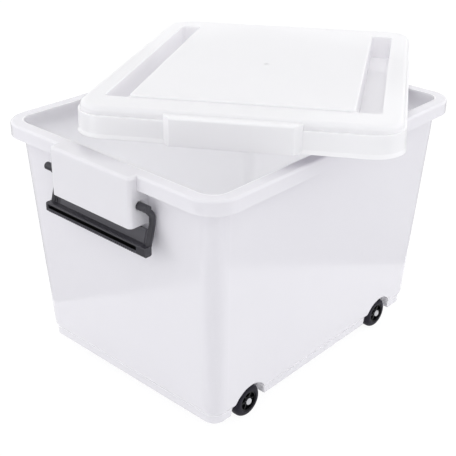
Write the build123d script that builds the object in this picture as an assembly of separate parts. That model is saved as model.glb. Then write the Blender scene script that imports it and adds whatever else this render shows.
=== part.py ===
from build123d import *
import os
import math

# Rolling ingredient bin with a loose lid lying askew on its rim.
# Sizes are in millimetres. Z is up, the floor is at Z 0, X runs along the bin
# and the origin is on the floor below the middle of the box round the bin and its lid.

# Bin rim and walls
rim_length = 600.0
rim_width = 460.0
rim_top = 415.0
rim_corner = 46.0
rim_flange = 17.0
rim_drop = 22.0
rim_edge_round = 4.0
wall = 2.8
wall_corner_top = 31.0
foot_length = 520.0
foot_width = 395.0
foot_corner = 26.0
foot_round = 12.0
floor_under = 33.0

# Set-in base below the floor
base_length = 513.0
base_width = 386.0
base_corner = 20.0
base_low = 21.5

# Handle housing at each end
housing_proud = 15.0
housing_half = 86.0
housing_low = 338.0
housing_corner = 7.0
housing_top_round = 5.0

# Swinging handle, whose arms bow towards the wall and which has slid a little along its stubs
pivot_out = -2.5
pivot_z = 369.5
stub_diameter = 12.0
stub_fit = 0.06
stub_reach = 12.0
stub_cap = 0.8
pivot_boss_wall = 3.0
pivot_boss_depth = 8.0
handle_slide = 5.4
arm_half = 104.7
arm_diameter = 9.6
arm_bow = 12.0
arm_bow_high = 14.0
arm_bow_low = 28.0
arm_foot_in = 1.5
arm_bend = 9.0
plate_thickness = 3.0
swing_gap = 1.6
lip_half = 110.0
lip_out = 8.8
lip_depth = 13.0
lip_low = 72.6
lip_height = 15.0
lip_round = 2.5
lip_slot_height = 6.0
lip_slot_depth = 8.0
lip_slot_drop = 2.6
lip_slot_margin_left = 5.2
lip_slot_margin_right = 18.0

# Wheels and their pockets
axle_half = 175.5
axle_shift = -5.0
wheel_radius = 27.5
wheel_width = 20.0
wheel_proud = 1.5
tyre_round = 8.0
hub_radius = 17.2
hub_inset = 1.0
hub_recess = 5.0
hub_rim = 2.2
hub_boss_radius = 7.5
hub_boss_inset = 2.5
spoke_count = 6
spoke_width = 2.2
axle_diameter = 8.0
axle_fit = 0.05
axle_head_radius = 6.0
axle_head_height = 4.5
axle_head_round = 3.2
axle_boss_radius = 6.0
axle_boss_length = 20.0
washer_radius = 9.0
washer_thickness = 2.5
end_play = 0.3
pocket_radius = 39.0

# Lid, in its own frame with Z 0 at the lower edge of its skirt
lid_over = 7.0
lid_flare = 2.0
lid_flare_height = 6.0
lid_wall = 2.5
lid_corner = 48.0
lid_shoulder = 33.0
lid_tier_inset = 3.5
lid_top = 46.0
lid_top_round = 8.0
channel_half = 248.0
channel_inner = 165.0
channel_outer = 202.0
channel_depth = 40.0
channel_corner = 6.0
panel_rise = 3.0
panel_corner = 8.0
panel_round = 2.0
tab_half = 88.0
tab_ramp = 10.0
tab_proud = 11.0
tab_top = 42.0
tab_round = 4.0

# How the lid lies on the rim
lid_turn = 31.4
lid_x = 90.6
lid_y = 17.8
lid_lean = 2.6
lid_seat_gap = 0.05

# Sizes that follow from the ones above
wall_length = rim_length - 2 * rim_flange
wall_width = rim_width - 2 * rim_flange
cavity_low = floor_under + wall
pivot_x = rim_length / 2 + pivot_out
housing_x = rim_length / 2 + housing_proud
housing_inner = housing_half - wall
plate_top = math.hypot(housing_x - pivot_x, pivot_z - housing_low) + swing_gap
lip_mid = lip_low - lip_height / 2
wheel_face_y = base_width / 2 + wheel_proud
pocket_face = wheel_face_y - wheel_width + hub_inset - end_play - washer_thickness
pocket_back = pocket_face - wall
boss_end = pocket_back - axle_boss_length
hub_outer = wheel_face_y - hub_inset
hub_inner = pocket_face + washer_thickness + end_play
hub_boss_face = wheel_face_y - hub_boss_inset
head_seat = hub_boss_face + end_play
lid_length = rim_length + 2 * lid_over
lid_width = rim_width + 2 * lid_over
flare_length = lid_length + 2 * lid_flare
flare_width = lid_width + 2 * lid_flare
tier_length = lid_length - 2 * lid_tier_inset
tier_width = lid_width - 2 * lid_tier_inset
channel_floor = lid_top - channel_depth
channel_under = channel_floor - lid_wall
ends = (-1, 1)


def prism(length, width, corner, low, high):
    """Upright block with rounded corners, from one height to another."""
    outline = Plane.XY.offset(low) * RectangleRounded(length, width, corner)
    return extrude(outline, amount=high - low)


def tapered(low_size, low_z, high_size, high_z):
    """Block with rounded corners that widens evenly between two heights."""
    low = Plane.XY.offset(low_z) * RectangleRounded(*low_size)
    high = Plane.XY.offset(high_z) * RectangleRounded(*high_size)
    return loft([low.face(), high.face()], ruled=True)


def block(x_range, y_range, z_range):
    """Plain block between two values on each axis."""
    size = [high - low for low, high in (x_range, y_range, z_range)]
    mid = [(high + low) / 2 for low, high in (x_range, y_range, z_range)]
    return Pos(*mid) * Box(*size)


def rod(radius, x, z, y_from, y_to):
    """Cylinder along Y."""
    return Pos(x, (y_from + y_to) / 2, z) * Rot(90, 0, 0) * Cylinder(radius, abs(y_to - y_from))


def wall_size_at(z, inset):
    """Length, width and corner of the wall at a height, inset from its outer face."""
    share = (z - floor_under) / (rim_top - floor_under)
    length = foot_length + share * (wall_length - foot_length)
    width = foot_width + share * (wall_width - foot_width)
    corner = foot_corner + share * (wall_corner_top - foot_corner)
    return length - 2 * inset, width - 2 * inset, corner - inset


def make_wall_outside():
    """Solid shape of the walls' outer faces, rounded in at the foot and ending inside the flange."""
    top = rim_top - wall / 2
    shape = tapered(wall_size_at(floor_under, 0), floor_under, wall_size_at(top, 0), top)
    return fillet(shape.edges().group_by(Axis.Z)[0], foot_round)


def make_cavity():
    """Inside of the bin, carried on above the rim so that it opens it."""
    above = rim_top + rim_drop
    shape = tapered(wall_size_at(cavity_low, wall), cavity_low, wall_size_at(above, wall), above)
    return fillet(shape.edges().group_by(Axis.Z)[0], foot_round - wall)


def make_rim():
    """Flange with a turned-down edge."""
    low = rim_top - rim_drop
    shape = prism(rim_length, rim_width, rim_corner, low, rim_top)
    shape = fillet(shape.edges().group_by(Axis.Z)[-1], rim_edge_round)
    inside = prism(rim_length - 2 * wall, rim_width - 2 * wall, rim_corner - wall, low - wall, rim_top - wall)
    return shape - inside


def make_housing():
    """Solid of one handle housing at +X, from the wall out to its front face."""
    shape = block((foot_length / 2, housing_x), (-housing_half, housing_half), (housing_low, rim_top))
    uprights = shape.edges().filter_by(Axis.Z).group_by(Axis.X)[-1]
    shape = fillet(uprights, housing_corner)
    front = shape.edges().group_by(Axis.Z)[-1]
    front = [edge for edge in front if edge.center().X > foot_length / 2 + wall]
    return fillet(front, housing_top_round)


def make_housing_hollow():
    """Space inside one handle housing at +X, open at the bottom."""
    low = housing_low - wall
    space = block((0, housing_x - wall), (-housing_inner, housing_inner), (low, rim_top - wall))
    uprights = space.edges().filter_by(Axis.Z).group_by(Axis.X)[-1]
    space = fillet(uprights, housing_corner - wall)
    front = space.edges().group_by(Axis.Z)[-1]
    front = [edge for edge in front if edge.center().X > wall]
    return fillet(front, housing_top_round - wall)


def make_tub():
    """One-piece bin: walls, floor, base, rim, handle housings and wheel pockets."""
    outside = make_wall_outside()
    base = prism(base_length, base_width, base_corner, base_low, floor_under + foot_round / 2)
    hollow = prism(base_length - 2 * wall, base_width - 2 * wall, base_corner - wall, 0, floor_under)
    tub = make_rim()
    boss_radius = stub_diameter / 2 + pivot_boss_wall
    for end in ends:
        turn = Rot(0, 0, 90 - 90 * end)
        tub = tub + turn * make_housing()
        tub = tub - turn * make_housing_hollow()
        for side in ends:
            inner = side * (housing_half - pivot_boss_depth)
            tub = tub + rod(boss_radius, end * pivot_x, pivot_z, inner, side * (housing_half - wall / 2))
    tub = outside + tub
    tub = tub + (base - hollow)
    tub = tub - make_cavity()
    envelope = outside + base
    for end in ends:
        for side in ends:
            x = axle_shift + end * axle_half
            shell = rod(pocket_radius + wall, x, base_low, side * pocket_back, side * rim_width / 2)
            tub = tub + (shell & envelope)
            tub = tub + rod(axle_boss_radius, x, wheel_radius, side * boss_end, side * (pocket_face - wall / 2))
    for end in ends:
        reach = housing_half + wall
        tub = tub - rod(stub_diameter / 2 + stub_fit, end * pivot_x, pivot_z, -reach, reach)
        for side in ends:
            x = axle_shift + end * axle_half
            tub = tub - rod(pocket_radius, x, base_low, side * pocket_face, side * rim_width / 2)
            tub = tub - rod(axle_diameter / 2, x, wheel_radius, side * (boss_end - wall), side * rim_width / 2)
    return tub


def arm_x_at(drop):
    """How far the straight lower run of an arm lies towards the wall, at a drop below the pivot."""
    share = (drop - arm_bow_low) / (lip_mid - arm_bow_low)
    return arm_bow + share * (arm_foot_in - arm_bow)


def make_plate():
    """Sloping plate between the arms, from below the housing's edge down into the lip."""
    half = plate_thickness / 2
    high, low = arm_x_at(plate_top), arm_x_at(lip_mid)
    points = [(high - half, -plate_top), (high + half, -plate_top), (low + half, -lip_mid), (low - half, -lip_mid)]
    outline = Plane.XZ * Polygon(*points, align=None)
    return extrude(outline, amount=arm_half, both=True)


def make_lip():
    """Finger lip with a slot along its front face."""
    front = -lip_out
    lip = block((front, front + lip_depth), (-lip_half, lip_half), (-lip_low, lip_height - lip_low))
    lip = fillet(lip.edges().filter_by(Axis.Y), lip_round)
    slot_high = lip_height - lip_low - lip_slot_drop
    slot_y = (lip_slot_margin_right - lip_half, lip_half - lip_slot_margin_left)
    return lip - block((front - lip_depth, front + lip_slot_depth), slot_y, (slot_high - lip_slot_height, slot_high))


def make_handle():
    """Bail handle at the -X end: plate, lip, bowed arms and the stubs it swings on."""
    handle = make_plate() + make_lip()
    for side in ends:
        y = side * arm_half
        path = FilletPolyline((0, y, 0), (arm_bow, y, -arm_bow_high), (arm_bow, y, -arm_bow_low),
                              (arm_foot_in, y, -lip_mid), radius=arm_bend)
        section = Plane(origin=(0, y, 0), z_dir=path % 0) * Circle(arm_diameter / 2)
        inner = side * (housing_half - stub_reach)
        outer = side * (arm_half + arm_diameter / 2 + stub_cap)
        handle = handle + sweep(section, path=path) + rod(stub_diameter / 2, 0, 0, inner, outer)
    return Pos(-pivot_x, handle_slide, pivot_z) * handle


def make_tyre(side):
    """Round-shouldered tread ring of one wheel at X 0."""
    shape = rod(wheel_radius, 0, wheel_radius, side * (wheel_face_y - wheel_width), side * wheel_face_y)
    shape = fillet(shape.edges().filter_by(GeomType.CIRCLE), tyre_round)
    return shape - rod(hub_radius, 0, wheel_radius, 0, side * rim_width)


def make_hub(side):
    """Hub with a recessed, spoked outer face and a running bore, at X 0."""
    hub = rod(hub_radius, 0, wheel_radius, side * hub_inner, side * hub_outer)
    recess_floor = hub_outer - hub_recess
    hub = hub - rod(hub_radius - hub_rim, 0, wheel_radius, side * recess_floor, side * rim_width)
    hub = hub + rod(hub_boss_radius, 0, wheel_radius, side * hub_inner, side * hub_boss_face)
    spoke_y = sorted((side * (recess_floor - hub_rim), side * hub_boss_face))
    for index in range(spoke_count):
        bar = block((0, hub_radius - hub_rim / 2), spoke_y, (-spoke_width / 2, spoke_width / 2))
        hub = hub + Pos(0, 0, wheel_radius) * Rot(0, index * 360 / spoke_count, 0) * bar
    return hub - rod(axle_diameter / 2 + axle_fit, 0, wheel_radius, 0, side * rim_width)


def make_axle(side):
    """Headed axle pin, pressed into the boss behind the wheel, at X 0."""
    pin = rod(axle_diameter / 2, 0, wheel_radius, side * boss_end, side * head_seat)
    head = rod(axle_head_radius, 0, wheel_radius, side * head_seat, side * (head_seat + axle_head_height))
    outer = head.edges().filter_by(GeomType.CIRCLE).sort_by(Axis.Y)
    outer = outer[-1] if side > 0 else outer[0]
    return pin + fillet(outer, axle_head_round)


def make_washer(side):
    """Plain washer between the wheel and the pocket wall, at X 0."""
    ring = rod(washer_radius, 0, wheel_radius, side * pocket_face, side * (pocket_face + washer_thickness))
    return ring - rod(axle_diameter / 2 + axle_fit, 0, wheel_radius, 0, side * rim_width)


def tab_prism(inset, low, high):
    """Bump on the skirt at the +X end of the lid, with slanted ends."""
    inner = lid_length / 2 - lid_corner / 2
    root = lid_length / 2 - inset
    front = root + tab_proud
    half = tab_half - inset * math.tan(math.atan2(tab_proud, tab_ramp) / 2)
    points = [(inner, -half - tab_ramp), (root, -half - tab_ramp), (front, -half),
              (front, half), (root, half + tab_ramp), (inner, half + tab_ramp)]
    outline = Plane.XY.offset(low) * Polygon(*points, align=None)
    return extrude(outline, amount=high - low)


def make_lid_shape(inset, low):
    """Solid of the lid's outer form, or of its inside when inset."""
    corner = lid_corner - inset
    skirt = prism(lid_length - 2 * inset, lid_width - 2 * inset, corner, low, lid_shoulder - inset)
    tier = prism(tier_length - 2 * inset, tier_width - 2 * inset, corner - lid_tier_inset, low, lid_top - inset)
    tier = fillet(tier.edges().group_by(Axis.Z)[-1], lid_top_round - inset)
    shape = skirt + tier
    for end in ends:
        tab = tab_prism(inset, low, tab_top - inset)
        tab = fillet(tab.edges().group_by(Axis.Z)[-1].group_by(Axis.X)[-1], tab_round)
        shape = shape + Rot(0, 0, 90 - 90 * end) * tab
    return shape


def make_lid():
    """Lid in its own frame: skirt, stepped top, two deep channels and a raised panel."""
    lid = make_lid_shape(0, 0)
    flare = tapered((flare_length, flare_width, lid_corner + lid_flare), 0,
                    (lid_length, lid_width, lid_corner), lid_flare_height)
    lid = lid + flare
    panel = prism(2 * channel_half, 2 * channel_inner, panel_corner, lid_shoulder, lid_top + panel_rise)
    panel = fillet(panel.edges().group_by(Axis.Z)[-1], panel_round)
    lid = lid + panel
    hollow = make_lid_shape(lid_wall, -lid_wall)
    under = prism(2 * (channel_half - lid_wall), 2 * (channel_inner - lid_wall), panel_corner - lid_wall,
                  lid_shoulder, lid_top + panel_rise - lid_wall)
    hollow = hollow + under
    channel_mid = (channel_inner + channel_outer) / 2
    channel_width = channel_outer - channel_inner
    for side in ends:
        shell = prism(2 * (channel_half + lid_wall), channel_width + 2 * lid_wall, channel_corner + lid_wall,
                      channel_under, lid_top)
        hollow = hollow - Pos(0, side * channel_mid, 0) * shell
    lid = lid - hollow
    for side in ends:
        space = prism(2 * channel_half, channel_width, channel_corner, channel_floor, lid_top + lid_corner)
        lid = lid - Pos(0, side * channel_mid, 0) * space
    return lid


def rim_crossing(across, side):
    """Where a line along the lid, at a distance across it, passes over the rim's outer edge."""
    turn = math.radians(lid_turn)
    offset = side * across
    if side > 0:
        along = (rim_width / 2 - lid_y - offset * math.cos(turn)) / math.sin(turn)
    else:
        along = (rim_length / 2 - lid_x + offset * math.sin(turn)) / math.cos(turn)
    x = lid_x + along * math.cos(turn) - offset * math.sin(turn)
    y = lid_y + along * math.sin(turn) + offset * math.cos(turn)
    return x, y


def place_lid(lid):
    """Turn the lid, lower its skirt on to the rim and lean it about the two points it rests on."""
    left = rim_crossing(flare_width / 2, 1)
    right = rim_crossing(flare_width / 2, -1)
    span = math.dist(left, right)
    direction = ((right[0] - left[0]) / span, (right[1] - left[1]) / span)
    reach = 0.0
    for side in ends:
        point = rim_crossing(channel_inner - lid_wall, side)
        beyond = (left[0] - point[0]) * direction[1] - (left[1] - point[1]) * direction[0]
        reach = max(reach, beyond)
    lift = lid_seat_gap + max(0.0, reach * math.sin(math.radians(lid_lean)) - channel_under)
    lid = Pos(lid_x, lid_y, rim_top + lift) * Rot(0, 0, lid_turn) * lid
    hinge_line = Axis((left[0], left[1], rim_top + lift), (direction[0], direction[1], 0))
    return lid.rotate(hinge_line, -lid_lean)


handle = make_handle()
pieces = {"tub": make_tub(), "lid": place_lid(make_lid()),
          "handle_near": handle, "handle_far": Rot(0, 0, 180) * handle}
corners = {"near_right": (-1, -1), "near_left": (-1, 1), "far_right": (1, -1), "far_left": (1, 1)}
for name, (end, side) in corners.items():
    spot = Pos(axle_shift + end * axle_half, 0, 0)
    pieces["tyre_" + name] = spot * make_tyre(side)
    pieces["hub_" + name] = spot * make_hub(side)
    pieces["axle_" + name] = spot * make_axle(side)
    pieces["washer_" + name] = spot * make_washer(side)

# The bin and its lid are moved together so that the box round them stands over the origin.
boxes = [piece.bounding_box() for piece in pieces.values()]
middle_x = (min(box.min.X for box in boxes) + max(box.max.X for box in boxes)) / 2
middle_y = (min(box.min.Y for box in boxes) + max(box.max.Y for box in boxes)) / 2
print("bin middle at", round(-middle_x, 4), round(-middle_y, 4))
os.makedirs("parts", exist_ok=True)
for name, piece in pieces.items():
    export_step(Pos(-middle_x, -middle_y, 0) * piece, "parts/" + name + ".step")
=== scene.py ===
import math

import bmesh
import bpy
from mathutils import Matrix, Vector


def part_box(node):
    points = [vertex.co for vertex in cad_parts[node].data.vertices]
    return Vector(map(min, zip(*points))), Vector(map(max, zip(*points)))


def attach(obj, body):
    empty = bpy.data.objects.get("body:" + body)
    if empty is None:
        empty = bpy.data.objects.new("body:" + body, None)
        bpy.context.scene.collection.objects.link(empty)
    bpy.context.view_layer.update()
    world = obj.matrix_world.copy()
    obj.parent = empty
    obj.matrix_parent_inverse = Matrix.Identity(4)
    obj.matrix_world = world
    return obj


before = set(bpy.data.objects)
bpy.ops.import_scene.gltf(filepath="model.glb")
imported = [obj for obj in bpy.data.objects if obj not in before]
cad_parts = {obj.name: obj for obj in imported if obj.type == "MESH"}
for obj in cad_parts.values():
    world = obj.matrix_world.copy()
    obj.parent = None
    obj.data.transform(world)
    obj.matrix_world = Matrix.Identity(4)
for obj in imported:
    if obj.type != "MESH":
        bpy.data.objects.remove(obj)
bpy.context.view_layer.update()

scene = bpy.context.scene

# Bin
# One injection-moulded tub: tapered walls, a turned-down rim, a hollow housing for each handle
# and a pocket over each wheel. It is natural polypropylene, which comes out of a polished mould
# milky white and glossy, and lets some light through.
BIN_SHADE = "EAE9EC"
BIN_SHADE_DEEP = "E7E6E9"
# The inside is painted paler than the outside, as painted light for the glow that comes through the walls.
BIN_INSIDE_PAINTED_GLOW = "FDFCFF"
BIN_ROUGHNESS = 0.1
BIN_CLEAR_MM = 4.0
BIN_CLEAR_INSIDE_MM = 44.0
POLYPROPYLENE_IOR = 1.49
FLOW_MM = 140.0
FLOW_RELIEF = 0.0008
FLOW_STRENGTH = 0.5
ORANGE_PEEL_MM = 2.5
PEEL_RELIEF = 0.00006
PEEL_STRENGTH = 0.15
PEEL_ROUGHNESS = (-0.03, 0.05)
MM_PER_METRE = 1000.0

# Middle of the wall: half size at the foot, what it gains per metre of height, and corner radius.
WALL_MIDDLE_X = (0.2566, 0.0602)
WALL_MIDDLE_Y = (0.1948, 0.0406)
WALL_MIDDLE_CORNER = 0.0275
FLOOR_MIDDLE = 0.0344
FLOOR_TOP = 0.0370
RIM_SHADE_HEIGHT = (0.30, 0.412)


def linear(shade):
    """Linear colour of an sRGB hex value."""
    levels = [int(shade[i:i + 2], 16) / 255 for i in (0, 2, 4)]
    return [v / 12.92 if v <= 0.04045 else ((v + 0.055) / 1.055) ** 2.4 for v in levels] + [1.0]


def add(tree, kind, values=None, links=None, **settings):
    """Adds a node with its properties, its input values and the wires that come into it."""
    node = tree.nodes.new(kind)
    for name, setting in settings.items():
        setattr(node, name, setting)
    for socket, value in (values or {}).items():
        node.inputs[socket].default_value = value
    for socket, (source, output) in (links or {}).items():
        tree.links.new(source.outputs[output], node.inputs[socket])
    return node


def per_metre(size_mm):
    """Scale of a pattern whose features are that many millimetres across."""
    return MM_PER_METRE / size_mm


def new_material(name):
    """Empty node material and its tree."""
    material = bpy.data.materials.new(name)
    material.use_nodes = True
    material.node_tree.nodes.clear()
    return material, material.node_tree


def moulded_polypropylene(name, shade, shade_deep, roughness, clear_mm):
    """Natural polypropylene: milky white with faint flow marks, a glossy skin and slight orange peel.

    Light goes some millimetres into it, so a thin wall lets some through. Gives the material, its
    tree, its coordinates, its colour and its surface."""
    material, tree = new_material(name)
    place = add(tree, "ShaderNodeTexCoord")
    flow = add(tree, "ShaderNodeTexNoise", {"Scale": per_metre(FLOW_MM), "Detail": 2.0, "Roughness": 0.4},
               {"Vector": (place, "Object")})
    colour = add(tree, "ShaderNodeMix", {"A": linear(shade), "B": linear(shade_deep)},
                 {"Factor": (flow, "Fac")}, data_type="RGBA")
    peel = add(tree, "ShaderNodeTexNoise", {"Scale": per_metre(ORANGE_PEEL_MM), "Detail": 1.0},
               {"Vector": (place, "Object")})
    skin = add(tree, "ShaderNodeMapRange",
               {"To Min": roughness + PEEL_ROUGHNESS[0], "To Max": roughness + PEEL_ROUGHNESS[1]},
               {"Value": (peel, "Fac")})
    ripple = add(tree, "ShaderNodeBump", {"Strength": PEEL_STRENGTH, "Distance": PEEL_RELIEF},
                 {"Height": (peel, "Fac")})
    sink = add(tree, "ShaderNodeBump", {"Strength": FLOW_STRENGTH, "Distance": FLOW_RELIEF},
               {"Height": (flow, "Fac"), "Normal": (ripple, "Normal")})
    surface = add(tree, "ShaderNodeBsdfPrincipled",
                  {"IOR": POLYPROPYLENE_IOR, "Subsurface Weight": 1.0, "Subsurface Radius": (1.0, 1.0, 1.0),
                   "Subsurface Scale": clear_mm / MM_PER_METRE},
                  {"Base Color": (colour, "Result"), "Roughness": (skin, "Result"),
                   "Normal": (sink, "Normal")})
    add(tree, "ShaderNodeOutputMaterial", None, {"Surface": (surface, "BSDF")})
    return material, tree, place, colour, surface


def dress(node, material):
    """Gives a CAD node one material."""
    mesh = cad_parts[node].data
    mesh.materials.clear()
    mesh.materials.append(material)


tub_low, tub_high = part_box("tub")
bin_middle = (tub_low + tub_high) / 2
bin_plastic, tree, place, colour, surface = moulded_polypropylene(
    "polished_polypropylene_bin", BIN_SHADE, BIN_SHADE_DEEP, BIN_ROUGHNESS, BIN_CLEAR_MM)

# Seen from inside, the walls glow with the light that comes through them, so there it goes deeper,
# except on the floor and behind the turned-down rim, where little comes through.
centred = add(tree, "ShaderNodeVectorMath", {1: (bin_middle.x, bin_middle.y, 0.0)},
              {0: (place, "Object")}, operation="SUBTRACT")
reach = add(tree, "ShaderNodeVectorMath", None, {0: (centred, "Vector")}, operation="ABSOLUTE")
axes = add(tree, "ShaderNodeSeparateXYZ", None, {"Vector": (reach, "Vector")})
squares = []
for axis, (foot, taper) in (("X", WALL_MIDDLE_X), ("Y", WALL_MIDDLE_Y)):
    straight = add(tree, "ShaderNodeMath", {1: taper, 2: foot - WALL_MIDDLE_CORNER}, {0: (axes, "Z")},
                   operation="MULTIPLY_ADD")
    past = add(tree, "ShaderNodeMath", None, {0: (axes, axis), 1: (straight, "Value")}, operation="SUBTRACT")
    clamped = add(tree, "ShaderNodeMath", {1: 0.0}, {0: (past, "Value")}, operation="MAXIMUM")
    squares.append(add(tree, "ShaderNodeMath", {1: 2.0}, {0: (clamped, "Value")}, operation="POWER"))
spread = add(tree, "ShaderNodeMath", None, {0: (squares[0], "Value"), 1: (squares[1], "Value")},
             operation="ADD")
within = add(tree, "ShaderNodeMath", {1: WALL_MIDDLE_CORNER ** 2}, {0: (spread, "Value")},
             operation="LESS_THAN")
above = add(tree, "ShaderNodeMath", {1: FLOOR_MIDDLE}, {0: (axes, "Z")}, operation="GREATER_THAN")
inside = add(tree, "ShaderNodeMath", None, {0: (within, "Value"), 1: (above, "Value")},
             operation="MULTIPLY")
on_wall = add(tree, "ShaderNodeMath", {1: FLOOR_TOP}, {0: (axes, "Z")}, operation="GREATER_THAN")
inner_wall = add(tree, "ShaderNodeMath", None, {0: (inside, "Value"), 1: (on_wall, "Value")},
                 operation="MULTIPLY")
below_rim = add(tree, "ShaderNodeMapRange",
                {"From Min": RIM_SHADE_HEIGHT[0], "From Max": RIM_SHADE_HEIGHT[1],
                 "To Min": 1.0, "To Max": 0.0},
                {"Value": (axes, "Z")})
glowing = add(tree, "ShaderNodeMath", None, {0: (inner_wall, "Value"), 1: (below_rim, "Result")},
              operation="MULTIPLY")
depth = add(tree, "ShaderNodeMapRange",
            {"To Min": BIN_CLEAR_MM / MM_PER_METRE, "To Max": BIN_CLEAR_INSIDE_MM / MM_PER_METRE},
            {"Value": (glowing, "Value")})
tree.links.new(depth.outputs["Result"], surface.inputs["Subsurface Scale"])
# The whole inside, its floor too, is painted paler: painted light for the light that comes through the
# walls.
painted_glow = add(tree, "ShaderNodeMix", {"B": linear(BIN_INSIDE_PAINTED_GLOW)},
            {"Factor": (inside, "Value"), "A": (colour, "Result")}, data_type="RGBA")
tree.links.new(painted_glow.outputs["Result"], surface.inputs["Base Color"])
dress("tub", bin_plastic)

# Lid
# A loose lid of the same plastic with a softer gloss. It has a deep skirt with a tab at each end, and
# a stepped top with two hand channels and a raised panel between them. It lies askew across the rim.
LID_SHADE = "FAF9FB"
LID_SHADE_DEEP = "F8F7F9"
LID_ROUGHNESS = 0.3
LID_CLEAR_MM = 5.0
SKIRT_CLEAR_MM = 3.0
LID_TURN = math.radians(31.4)
LID_TOP_HALF = (0.302, 0.232)
GATE_RADIUS = 0.0045
GATE_WALL = 0.0008
GATE_HEIGHT = 0.00025
GATE_SHOULDER = 0.7
GATE_CHAMFER = GATE_WALL / 3
GATE_INNER = GATE_RADIUS - GATE_WALL
GATE_SHIFT = Vector((-0.013, -0.012, 0.0))
PROBE_HEIGHT = 0.1
RING_STEPS = 32

lid_plastic, tree, place, _, surface = moulded_polypropylene(
    "satin_polypropylene_lid", LID_SHADE, LID_SHADE_DEEP, LID_ROUGHNESS, LID_CLEAR_MM)
lid_low, lid_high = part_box("lid")
lid_middle = (lid_low + lid_high) / 2

# The skirt and its tabs get little light from behind, so light goes less deep there than in the top.
own = add(tree, "ShaderNodeMapping", {"Location": lid_middle, "Rotation": (0.0, 0.0, LID_TURN)},
          {"Vector": (place, "Object")}, vector_type="TEXTURE")
reach = add(tree, "ShaderNodeVectorMath", None, {0: (own, "Vector")}, operation="ABSOLUTE")
axes = add(tree, "ShaderNodeSeparateXYZ", None, {"Vector": (reach, "Vector")})
past_end = add(tree, "ShaderNodeMath", {1: LID_TOP_HALF[0]}, {0: (axes, "X")}, operation="GREATER_THAN")
past_side = add(tree, "ShaderNodeMath", {1: LID_TOP_HALF[1]}, {0: (axes, "Y")}, operation="GREATER_THAN")
skirt = add(tree, "ShaderNodeMath", None, {0: (past_end, "Value"), 1: (past_side, "Value")},
            operation="MAXIMUM")
depth = add(tree, "ShaderNodeMapRange",
            {"To Min": LID_CLEAR_MM / MM_PER_METRE, "To Max": SKIRT_CLEAR_MM / MM_PER_METRE},
            {"Value": (skirt, "Value")})
tree.links.new(depth.outputs["Result"], surface.inputs["Subsurface Scale"])
dress("lid", lid_plastic)


def moulded_piece(name, shape, material):
    """Plain mesh object of a drawn shape, which is used up, with its faces turned outwards."""
    bmesh.ops.recalc_face_normals(shape, faces=shape.faces)
    mesh = bpy.data.meshes.new(name)
    shape.to_mesh(mesh)
    shape.free()
    mesh.materials.append(material)
    piece = bpy.data.objects.new(name, mesh)
    scene.collection.objects.link(piece)
    return piece


def turned_ring(profile, spot, normal):
    """Shape of a ring with a closed profile of radius and height, standing on a spot of a surface."""
    shape = bmesh.new()
    loops = []
    for step in range(RING_STEPS):
        angle = 2 * math.pi * step / RING_STEPS
        loops.append([shape.verts.new((radius * math.cos(angle), radius * math.sin(angle), height))
                      for radius, height in profile])
    for here, after in zip(loops, loops[1:] + loops[:1]):
        for i in range(len(profile)):
            j = (i + 1) % len(profile)
            shape.faces.new((here[i], after[i], after[j], here[j]))
    shape.transform(Matrix.Translation(spot) @ normal.to_track_quat("Z", "Y").to_matrix().to_4x4())
    return shape


# The mould's gate leaves a small raised ring near the middle of the panel.
above_panel = Vector((lid_middle.x, lid_middle.y, lid_high.z + PROBE_HEIGHT)) + GATE_SHIFT
downwards = Vector((0.0, 0.0, -1.0))
_, panel_spot, panel_normal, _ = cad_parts["lid"].ray_cast(above_panel, downwards)
gate_profile = [(GATE_RADIUS, -GATE_HEIGHT), (GATE_RADIUS, GATE_HEIGHT * GATE_SHOULDER),
                (GATE_RADIUS - GATE_CHAMFER, GATE_HEIGHT), (GATE_INNER, GATE_HEIGHT),
                (GATE_INNER, -GATE_HEIGHT)]
gate_ring = turned_ring(gate_profile, panel_spot, panel_normal)
gate_mark = moulded_piece("lid_gate_mark", gate_ring, lid_plastic)
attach(gate_mark, "lid")

# Handles
# Swinging bail handles, one at each end, moulded in charcoal glass-filled polypropylene with a
# spark-eroded satin grain. Their stubs sit in the cheeks of the bin's housings. The grain is drawn
# coarser than a real one, so that it shows.
HANDLE_SHADE = "323137"
HANDLE_SHADE_PALE = "3D3C42"
HANDLE_ROUGHNESS = 0.34
HANDLE_SHINE = 0.5
# The plate's grey is partly painted light, the lip's top is painted light, the slot's black is painted shade
# and the edge's pale grey is a painted highlight.
PLATE_GREY_AND_PAINTED_LIGHT = "56555B"
PLATE_HALF = 0.0945
PLATE_HEIGHT = (0.0152, 0.0360)
LIP_TOP_PAINTED_LIGHT = "47464C"
LIP_TOP_HEIGHT = (0.0147, 0.0152)
SLOT_PAINTED_SHADE = "09090B"
SLOT_HALF = 0.0984
SLOT_MIDDLE = 0.0064
SLOT_HEIGHT = (0.0063, 0.0125)
EDGE_PAINTED_HIGHLIGHT = "525157"
EDGE_HEIGHT = (-0.0010, 0.0062)
DARK_PLASTIC_IOR = 1.5
GRAIN_MM = 1.2
GRAIN_RELIEF = 0.00015
GRAIN_STRENGTH = 0.35
SCUFF_MM = 30.0
SCUFF_ROUGHNESS = (-0.06, 0.1)


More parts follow.
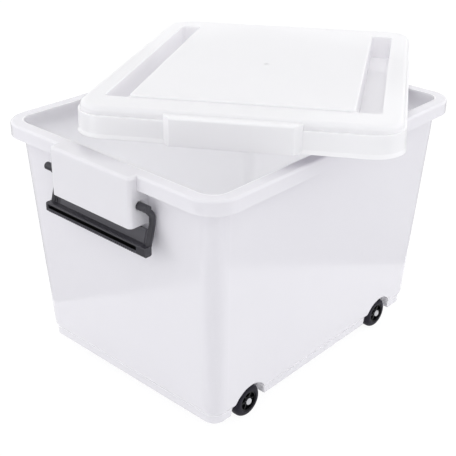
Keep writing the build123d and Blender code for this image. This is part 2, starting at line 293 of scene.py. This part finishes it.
def satin_charcoal(name, shade, shade_pale, roughness, shine):
    """Dark moulded plastic or rubber: fine matt grain with faint paler scuffs.

    Gives the material, its tree, its coordinates, its colour and its surface."""
    material, tree = new_material(name)
    place = add(tree, "ShaderNodeTexCoord")
    grain = add(tree, "ShaderNodeTexNoise", {"Scale": per_metre(GRAIN_MM), "Detail": 3.0},
                {"Vector": (place, "Object")})
    scuff = add(tree, "ShaderNodeTexNoise", {"Scale": per_metre(SCUFF_MM), "Detail": 4.0, "Roughness": 0.6},
                {"Vector": (place, "Object")})
    colour = add(tree, "ShaderNodeMix", {"A": linear(shade), "B": linear(shade_pale)},
                 {"Factor": (scuff, "Fac")}, data_type="RGBA")
    skin = add(tree, "ShaderNodeMapRange",
               {"To Min": roughness + SCUFF_ROUGHNESS[0], "To Max": roughness + SCUFF_ROUGHNESS[1]},
               {"Value": (scuff, "Fac")})
    relief = add(tree, "ShaderNodeBump", {"Strength": GRAIN_STRENGTH, "Distance": GRAIN_RELIEF},
                 {"Height": (grain, "Fac")})
    surface = add(tree, "ShaderNodeBsdfPrincipled", {"IOR": DARK_PLASTIC_IOR, "Specular IOR Level": shine},
                  {"Base Color": (colour, "Result"), "Roughness": (skin, "Result"),
                   "Normal": (relief, "Normal")})
    add(tree, "ShaderNodeOutputMaterial", None, {"Surface": (surface, "BSDF")})
    return material, tree, place, colour, surface


handle_plastic, tree, place, colour, surface = satin_charcoal(
    "charcoal_polypropylene_handle", HANDLE_SHADE, HANDLE_SHADE_PALE, HANDLE_ROUGHNESS, HANDLE_SHINE)

# The plate between the arms is greyer, partly its own colour and partly painted light; the top of
# the lip is painted lighter as painted light; the slot in the lip is painted black as painted shade;
# and the edge below it is painted paler as a painted highlight. The far handle is the near one
# turned round.
handle_low, handle_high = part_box("handle_near")
slot_middle = bin_middle.y - (handle_low.y + handle_high.y) / 2 - SLOT_MIDDLE
centred = add(tree, "ShaderNodeVectorMath", {1: (bin_middle.x, bin_middle.y, handle_low.z)},
              {0: (place, "Object")}, operation="SUBTRACT")
axes = add(tree, "ShaderNodeSeparateXYZ", None, {"Vector": (centred, "Vector")})
facing = add(tree, "ShaderNodeMath", None, {0: (axes, "X")}, operation="SIGN")
across = add(tree, "ShaderNodeMath", None, {0: (axes, "Y"), 1: (facing, "Value")}, operation="MULTIPLY")
for shade, middle, half, (low, high) in ((PLATE_GREY_AND_PAINTED_LIGHT, 0.0, PLATE_HALF, PLATE_HEIGHT),
                                         (LIP_TOP_PAINTED_LIGHT, 0.0, PLATE_HALF, LIP_TOP_HEIGHT),
                                         (SLOT_PAINTED_SHADE, slot_middle, SLOT_HALF, SLOT_HEIGHT),
                                         (EDGE_PAINTED_HIGHLIGHT, slot_middle, SLOT_HALF, EDGE_HEIGHT)):
    sideways = add(tree, "ShaderNodeMath", {1: middle, 2: half}, {0: (across, "Value")}, operation="COMPARE")
    upwards = add(tree, "ShaderNodeMath", {1: (low + high) / 2, 2: (high - low) / 2}, {0: (axes, "Z")},
                  operation="COMPARE")
    region = add(tree, "ShaderNodeMath", None, {0: (sideways, "Value"), 1: (upwards, "Value")},
                 operation="MULTIPLY")
    colour = add(tree, "ShaderNodeMix", {"B": linear(shade)},
                 {"Factor": (region, "Value"), "A": (colour, "Result")}, data_type="RGBA")
tree.links.new(colour.outputs["Result"], surface.inputs["Base Color"])
for end in ("near", "far"):
    dress("handle_" + end, handle_plastic)

# Grip teeth and ribs
# A row of small moulded teeth stands on the front of the lip, below its slot, and one upright rib
# stiffens the plate beside each arm. They are part of the same moulding as the handle. The teeth are
# drawn coarser than the real ones, so that they show.
TOOTH_PITCH = 0.0044
TOOTH_HEIGHT = 0.0046
TOOTH_WIDTH = 0.0026
TOOTH_PROUD = 0.0030
TOOTH_TAPER = 0.6
TOOTH_RISE = 0.0035
TOOTH_COUNT = 44
UNIT_CORNER = math.sqrt(0.5)
PIVOT_DROP = 0.006
RIB_SIDE = 0.0965
RIB_WIDTH = 0.0018
RIB_PROUD = 0.0010
RIB_FOOT_HALF = 0.5
RIB_CREST_HALF = 0.32

# Distance behind the lip's front and below the pivot, at the top and foot of the plate's front.
PLATE_FRONT_HIGH = (0.0166, 0.0376)
PLATE_FRONT_LOW = (0.0103, 0.0600)


def row_of_teeth():
    """Node tree: a row of small tapered teeth at an even pitch along Y, with their material."""
    tree = bpy.data.node_groups.new("row_of_teeth", "GeometryNodeTree")
    tree.interface.new_socket("Geometry", in_out="OUTPUT", socket_type="NodeSocketGeometry")
    names = (("Count", "NodeSocketInt"), ("Pitch", "NodeSocketFloat"), ("Start", "NodeSocketVector"),
             ("Size", "NodeSocketVector"), ("Taper", "NodeSocketFloat"), ("Outward", "NodeSocketVector"),
             ("Material", "NodeSocketMaterial"))
    sockets = {name: tree.interface.new_socket(name, in_out="INPUT", socket_type=kind).identifier
               for name, kind in names}
    given = add(tree, "NodeGroupInput")
    step = add(tree, "ShaderNodeCombineXYZ", None, {"Y": (given, "Pitch")})
    line = add(tree, "GeometryNodeMeshLine", None,
               {"Count": (given, "Count"), "Start Location": (given, "Start"), "Offset": (step, "Vector")})
    post = add(tree, "GeometryNodeMeshCone", {"Vertices": 4, "Radius Bottom": UNIT_CORNER, "Depth": 1.0},
               {"Radius Top": (given, "Taper")})
    square = add(tree, "GeometryNodeTransform",
                 {"Translation": (0.0, 0.0, -0.5), "Rotation": (0.0, 0.0, math.pi / 4)},
                 {"Geometry": (post, "Mesh")})
    tooth = add(tree, "GeometryNodeTransform", None,
                {"Geometry": (square, "Geometry"), "Rotation": (given, "Outward"), "Scale": (given, "Size")})
    placed = add(tree, "GeometryNodeInstanceOnPoints", None,
                 {"Points": (line, "Mesh"), "Instance": (tooth, "Geometry")})
    real = add(tree, "GeometryNodeRealizeInstances", None, {"Geometry": (placed, "Instances")})
    coated = add(tree, "GeometryNodeSetMaterial", None,
                 {"Geometry": (real, "Geometry"), "Material": (given, "Material")})
    add(tree, "NodeGroupOutput", None, {"Geometry": (coated, "Geometry")})
    return tree, sockets


def settled(holder):
    """Turns an object's evaluated shape into its plain mesh and drops its modifiers."""
    graph = bpy.context.evaluated_depsgraph_get()
    mesh = bpy.data.meshes.new_from_object(holder.evaluated_get(graph))
    holder.modifiers.clear()
    holder.data = mesh
    return holder


def upright_ribs(front, pivot_z, middle_y, outward):
    """Shape of a slim bar beside each arm, lying on the front of the sloping plate."""
    shape = bmesh.new()
    for side in (-1, 1):
        y = middle_y + side * RIB_SIDE
        corners_of_bar = []
        for back, drop in (PLATE_FRONT_HIGH, PLATE_FRONT_LOW):
            for proud, half in ((-RIB_PROUD, RIB_FOOT_HALF), (RIB_PROUD, RIB_CREST_HALF)):
                for share in (-half, half):
                    x = front - outward * (back - proud)
                    corners_of_bar.append(shape.verts.new((x, y + share * RIB_WIDTH, pivot_z - drop)))
        bmesh.ops.convex_hull(shape, input=corners_of_bar)
    return shape


tooth_tree, tooth_sockets = row_of_teeth()
for end, outward in (("near", -1), ("far", 1)):
    low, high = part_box("handle_" + end)
    middle_y = (low.y + high.y) / 2
    front = low.x if outward < 0 else high.x
    holder = bpy.data.objects.new("handle_teeth_" + end, bpy.data.meshes.new("handle_teeth_" + end))
    scene.collection.objects.link(holder)
    row = holder.modifiers.new("teeth", "NODES")
    row.node_group = tooth_tree
    first = middle_y - outward * SLOT_MIDDLE - TOOTH_PITCH * (TOOTH_COUNT - 1) / 2
    given = {"Count": TOOTH_COUNT, "Pitch": TOOTH_PITCH, "Size": (TOOTH_HEIGHT, TOOTH_WIDTH, TOOTH_PROUD),
             "Taper": TOOTH_TAPER * UNIT_CORNER, "Outward": (0.0, outward * math.pi / 2, 0.0),
             "Material": handle_plastic, "Start": (front, first, low.z + TOOTH_RISE)}
    for name, value in given.items():
        row[tooth_sockets[name]] = value
    teeth = settled(holder)
    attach(teeth, "handle_" + end)
    bars = upright_ribs(front, high.z - PIVOT_DROP, middle_y, outward)
    ribs = moulded_piece("handle_ribs_" + end, bars, handle_plastic)
    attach(ribs, "handle_" + end)

# Wheels
# Each wheel is a soft tread ring of black thermoplastic rubber, moulded on a harder black nylon hub
# with a spoked recess. It turns on its own fixed pin and doesn't swivel.
TYRE_SHADE = "1B1923"
TYRE_SHADE_PALE = "25232D"
TYRE_ROUGHNESS = 0.5
TYRE_SHINE = 0.15
HUB_SHADE = "08080B"
HUB_SHADE_PALE = "0F0F12"
HUB_ROUGHNESS = 0.38
HUB_SHINE = 0.2
corners = ("near_right", "near_left", "far_right", "far_left")
tyre_rubber = satin_charcoal("thermoplastic_rubber_tyre", TYRE_SHADE, TYRE_SHADE_PALE, TYRE_ROUGHNESS,
                             TYRE_SHINE)[0]
hub_plastic = satin_charcoal("black_nylon_hub", HUB_SHADE, HUB_SHADE_PALE, HUB_ROUGHNESS, HUB_SHINE)[0]
for corner in corners:
    dress("tyre_" + corner, tyre_rubber)
    dress("hub_" + corner, hub_plastic)

# Axles and washers
# Each wheel turns on a headed steel pin, bright zinc plated, pressed into a boss of the bin, with
# a plain nylon washer behind the wheel.
ZINC_SHADE = "D6D6D9"
ZINC_SHADE_DEEP = "B9B9BE"
ZINC_ROUGHNESS = (0.22, 0.4)
ZINC_CLOUD_MM = 0.8
WASHER_SHADE = "2A2A2C"
WASHER_SHADE_PALE = "343437"
WASHER_ROUGHNESS = 0.45
WASHER_SHINE = 0.4


def bright_zinc(name):
    """Zinc plate on turned steel: bright, slightly cloudy metal."""
    material, tree = new_material(name)
    place = add(tree, "ShaderNodeTexCoord")
    cloud = add(tree, "ShaderNodeTexNoise", {"Scale": per_metre(ZINC_CLOUD_MM), "Detail": 3.0},
                {"Vector": (place, "Object")})
    colour = add(tree, "ShaderNodeMix", {"A": linear(ZINC_SHADE), "B": linear(ZINC_SHADE_DEEP)},
                 {"Factor": (cloud, "Fac")}, data_type="RGBA")
    skin = add(tree, "ShaderNodeMapRange", {"To Min": ZINC_ROUGHNESS[0], "To Max": ZINC_ROUGHNESS[1]},
               {"Value": (cloud, "Fac")})
    surface = add(tree, "ShaderNodeBsdfPrincipled", {"Metallic": 1.0},
                  {"Base Color": (colour, "Result"), "Roughness": (skin, "Result")})
    add(tree, "ShaderNodeOutputMaterial", None, {"Surface": (surface, "BSDF")})
    return material


axle_zinc = bright_zinc("zinc_plated_axle")
washer_nylon = satin_charcoal("black_nylon_washer", WASHER_SHADE, WASHER_SHADE_PALE, WASHER_ROUGHNESS,
                              WASHER_SHINE)[0]
for corner in corners:
    dress("axle_" + corner, axle_zinc)
    dress("washer_" + corner, washer_nylon)

# Floor
# The bin stands on a strip of white paper that runs towards the camera, on a white studio floor.
# The camera sees white all round, and the glossy walls show the paper's edge.
PAPER_TURN = math.radians(39.85)
PAPER_HALF = 0.446
PAPER_OFFSET = -0.0194
PAPER_LENGTH = 6.0
PAPER_GLINT = 1.0
STUDIO_SIZE = 12.0
STUDIO_DROP = 0.001
STUDIO_GLINT = 0.3
FLOOR_SHADE = "F4F4F6"
FLOOR_WHITE = 1.06
SHADOW_SHARE = 0.12


def white_to_camera(name, shade, mirrored):
    """Floor that bounces light by its own colour, looks white with a light shadow to the camera, and
    has its own level in the gloss of the walls."""
    material, tree = new_material(name)
    rays = add(tree, "ShaderNodeLightPath")
    matt = add(tree, "ShaderNodeBsdfDiffuse", {"Color": linear(shade)})
    white = add(tree, "ShaderNodeEmission", {"Strength": FLOOR_WHITE})
    lifted = add(tree, "ShaderNodeMixShader", {"Fac": 1.0 - SHADOW_SHARE},
                 {1: (matt, "BSDF"), 2: (white, "Emission")})
    glint = add(tree, "ShaderNodeEmission", {"Strength": mirrored})
    shiny = add(tree, "ShaderNodeMath", None,
                {0: (rays, "Is Glossy Ray"), 1: (rays, "Is Transmission Ray")}, operation="MAXIMUM")
    bounced = add(tree, "ShaderNodeMixShader", None,
                  {"Fac": (shiny, "Value"), 1: (matt, "BSDF"), 2: (glint, "Emission")})
    shown = add(tree, "ShaderNodeMixShader", None,
                {"Fac": (rays, "Is Camera Ray"), 1: (bounced, "Shader"), 2: (lifted, "Shader")})
    add(tree, "ShaderNodeOutputMaterial", None, {"Surface": (shown, "Shader")})
    return material


def sheet_of_floor(name, length, width, z, material):
    """Flat floor piece, turned with the paper and centred under the bin."""
    sideways = Vector((-math.sin(PAPER_TURN), math.cos(PAPER_TURN), 0.0))
    along = Vector((math.cos(PAPER_TURN), math.sin(PAPER_TURN), 0.0))
    middle = Vector((bin_middle.x, bin_middle.y, z)) + sideways * PAPER_OFFSET
    corners_of_sheet = [middle + along * a * length / 2 + sideways * b * width / 2
                        for a, b in ((-1, -1), (1, -1), (1, 1), (-1, 1))]
    mesh = bpy.data.meshes.new(name)
    mesh.from_pydata(corners_of_sheet, [], [(0, 1, 2, 3)])
    sheet = bpy.data.objects.new(name, mesh)
    scene.collection.objects.link(sheet)
    mesh.materials.append(material)


paper = white_to_camera("white_paper", FLOOR_SHADE, PAPER_GLINT)
studio_floor = white_to_camera("studio_floor", FLOOR_SHADE, STUDIO_GLINT)
sheet_of_floor("paper_strip", PAPER_LENGTH, 2 * PAPER_HALF, 0.0, paper)
sheet_of_floor("studio_floor", STUDIO_SIZE, STUDIO_SIZE, -STUDIO_DROP, studio_floor)

# Light
# A pale room lights the bin from all round, with a soft lamp overhead and one at each side, which
# leaves the front corner a little darker. Camera and gloss see the room as plain white.
ROOM_COLOUR = (0.98, 0.98, 1.0, 1.0)
ROOM_LIGHT = 0.93
WHITE = (1.0, 1.0, 1.0, 1.0)
LIGHT_BOUNCES = 24
DIFFUSE_BOUNCES = 16

# Name, place from the bin's middle in metres, size in metres and power in watts.
LAMPS = (("overhead", (-0.2, -0.1, 2.2), 1.8, 2.0),
         ("left_side", (-1.6, 1.4, 0.6), 1.2, 7.5),
         ("right_side", (1.5, -1.6, 0.6), 1.2, 9.0))

world = bpy.data.worlds.new("studio")
scene.world = world
world.use_nodes = True
sky = world.node_tree
sky.nodes.clear()
rays = add(sky, "ShaderNodeLightPath")
room = add(sky, "ShaderNodeBackground", {"Color": ROOM_COLOUR, "Strength": ROOM_LIGHT})
white = add(sky, "ShaderNodeBackground", {"Color": WHITE, "Strength": 1.0})
seen = add(sky, "ShaderNodeMath", None, {0: (rays, "Is Camera Ray"), 1: (rays, "Is Glossy Ray")},
           operation="MAXIMUM")
seen = add(sky, "ShaderNodeMath", None, {0: (seen, "Value"), 1: (rays, "Is Transmission Ray")},
           operation="MAXIMUM")
background = add(sky, "ShaderNodeMixShader", None,
                 {"Fac": (seen, "Value"), 1: (room, "Background"), 2: (white, "Background")})
add(sky, "ShaderNodeOutputWorld", None, {"Surface": (background, "Shader")})

# Each lamp is a softbox that faces the bin and makes no glint of its own.
for name, offset, size, watts in LAMPS:
    lamp = bpy.data.lights.new(name, "AREA")
    lamp.shape = "SQUARE"
    lamp.size = size
    lamp.energy = watts
    softbox = bpy.data.objects.new(name, lamp)
    scene.collection.objects.link(softbox)
    softbox.visible_glossy = False
    softbox.location = bin_middle + Vector(offset)
    softbox.rotation_mode = "QUATERNION"
    softbox.rotation_quaternion = (bin_middle - softbox.location).to_track_quat("-Z", "Y")
scene.cycles.max_bounces = LIGHT_BOUNCES
scene.cycles.diffuse_bounces = DIFFUSE_BOUNCES

# Camera
# It stands above the near right corner at the photograph's angle, with a little roll. Its place is
# given from the point of the floor below the bin's middle.
CAMERA_PLACE = Vector((-1.046963, -0.923703, 0.908186))
CAMERA_YAW = math.radians(41.924)
CAMERA_PITCH = math.radians(27.069)
CAMERA_ROLL = math.radians(0.847)
CAMERA_LENS = 71.489
view = Vector((math.cos(CAMERA_YAW) * math.cos(CAMERA_PITCH),
               math.sin(CAMERA_YAW) * math.cos(CAMERA_PITCH), -math.sin(CAMERA_PITCH)))
level = Vector((math.sin(CAMERA_YAW), -math.cos(CAMERA_YAW), 0.0))
upright = level.cross(view)
right = level * math.cos(CAMERA_ROLL) + upright * math.sin(CAMERA_ROLL)
up = upright * math.cos(CAMERA_ROLL) - level * math.sin(CAMERA_ROLL)
lens = bpy.data.cameras.new("camera")
lens.lens = CAMERA_LENS
camera = bpy.data.objects.new("camera", lens)
scene.collection.objects.link(camera)
turn = Matrix((right, up, -view)).transposed().to_4x4()
below_bin = Vector((bin_middle.x, bin_middle.y, 0.0))
camera.matrix_world = Matrix.Translation(below_bin + CAMERA_PLACE) @ turn
scene.camera = camera

scene.view_settings.view_transform = "Standard"
